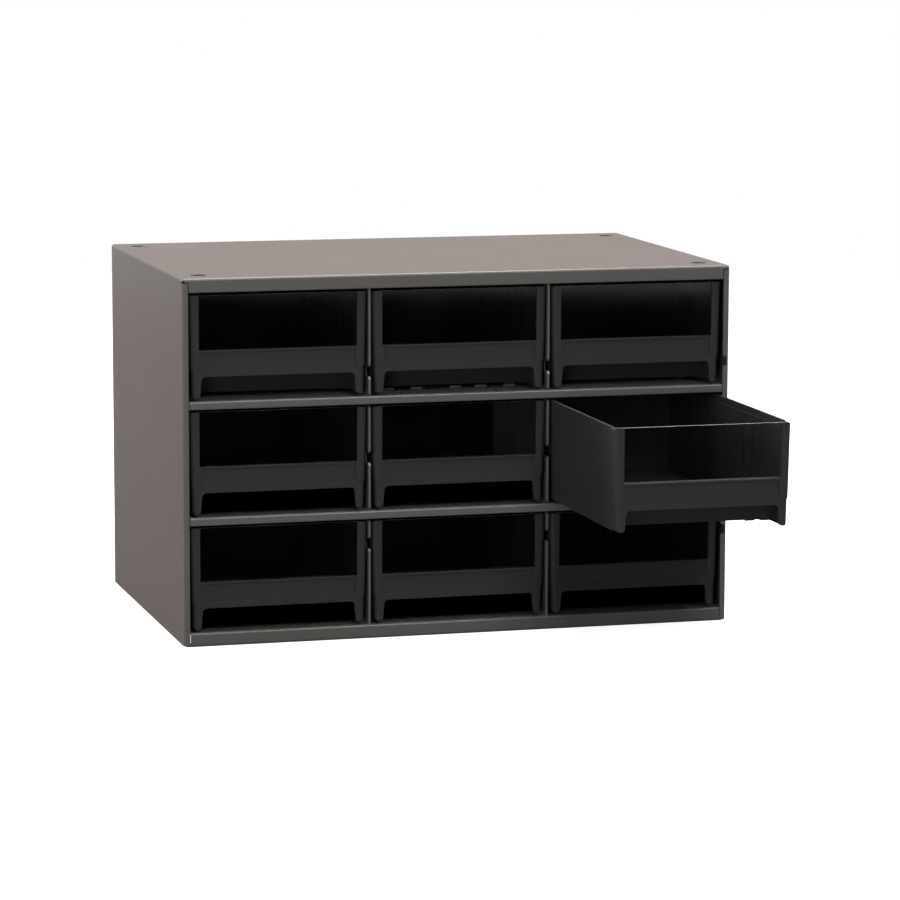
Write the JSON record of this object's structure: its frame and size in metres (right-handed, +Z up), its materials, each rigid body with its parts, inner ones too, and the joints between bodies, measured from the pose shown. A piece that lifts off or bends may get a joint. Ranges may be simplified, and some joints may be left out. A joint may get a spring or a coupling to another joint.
{
  "type": "small parts drawer cabinet",
  "caption": "Welded sheet-steel cabinet with a grid of sliding moulded drawers, each with a clear front window, a recessed label bar and an arched finger pull.",
  "frame": {"origin": "centre of the case's rectangular footprint, on the plane that its base stands on", "axes": "+Z up; +Y from the drawer fronts towards the back panel; +X to the right as seen from the front"},
  "size_m": [0.4318, 0.4344, 0.2794],
  "materials": {
    "case_paint": "grey baked enamel, semi-gloss",
    "drawer_moulding": "fine-textured black moulded polypropylene",
    "drawer_window": "clear polished styrene"
  },
  "bodies": {
    "cabinet": {"outer_shell": "case_paint", "back_panel": "case_paint", "bottom_pan": "case_paint", "lower_shelf": "case_paint", "upper_shelf": "case_paint", "left_divider": "case_paint", "right_divider": "case_paint"},
    "bottom_left_drawer": {"front_bottom_left": "drawer_moulding", "drawer_bottom_left": "drawer_moulding", "window_bottom_left": "drawer_window"},
    "bottom_centre_drawer": {"front_bottom_centre": "drawer_moulding", "drawer_bottom_centre": "drawer_moulding", "window_bottom_centre": "drawer_window"},
    "bottom_right_drawer": {"front_bottom_right": "drawer_moulding", "drawer_bottom_right": "drawer_moulding", "window_bottom_right": "drawer_window"},
    "middle_left_drawer": {"front_middle_left": "drawer_moulding", "drawer_middle_left": "drawer_moulding", "window_middle_left": "drawer_window"},
    "middle_centre_drawer": {"front_middle_centre": "drawer_moulding", "drawer_middle_centre": "drawer_moulding", "window_middle_centre": "drawer_window"},
    "middle_right_drawer": {"front_middle_right": "drawer_moulding", "drawer_middle_right": "drawer_moulding", "window_middle_right": "drawer_window"},
    "top_left_drawer": {"front_top_left": "drawer_moulding", "drawer_top_left": "drawer_moulding", "window_top_left": "drawer_window"},
    "top_centre_drawer": {"front_top_centre": "drawer_moulding", "drawer_top_centre": "drawer_moulding", "window_top_centre": "drawer_window"},
    "top_right_drawer": {"front_top_right": "drawer_moulding", "drawer_top_right": "drawer_moulding", "window_top_right": "drawer_window"}
  },
  "joints": [
    {"name": "bottom_left_slide", "type": "slide", "parent": "cabinet", "child": "bottom_left_drawer", "axis": [0, -1, 0], "range_m": [0, 0.2674]},
    {"name": "bottom_centre_slide", "type": "slide", "parent": "cabinet", "child": "bottom_centre_drawer", "axis": [0, -1, 0], "range_m": [0, 0.2674]},
    {"name": "bottom_right_slide", "type": "slide", "parent": "cabinet", "child": "bottom_right_drawer", "axis": [0, -1, 0], "range_m": [0, 0.2674]},
    {"name": "middle_left_slide", "type": "slide", "parent": "cabinet", "child": "middle_left_drawer", "axis": [0, -1, 0], "range_m": [0, 0.2674]},
    {"name": "middle_centre_slide", "type": "slide", "parent": "cabinet", "child": "middle_centre_drawer", "axis": [0, -1, 0], "range_m": [0, 0.2674]},
    {"name": "middle_right_slide", "type": "slide", "parent": "cabinet", "child": "middle_right_drawer", "axis": [0, -1, 0], "range_m": [-0.158, 0.1094]},
    {"name": "top_left_slide", "type": "slide", "parent": "cabinet", "child": "top_left_drawer", "axis": [0, -1, 0], "range_m": [0, 0.2674]},
    {"name": "top_centre_slide", "type": "slide", "parent": "cabinet", "child": "top_centre_drawer", "axis": [0, -1, 0], "range_m": [0, 0.2674]},
    {"name": "top_right_slide", "type": "slide", "parent": "cabinet", "child": "top_right_drawer", "axis": [0, -1, 0], "range_m": [0, 0.2674]}
  ]
}
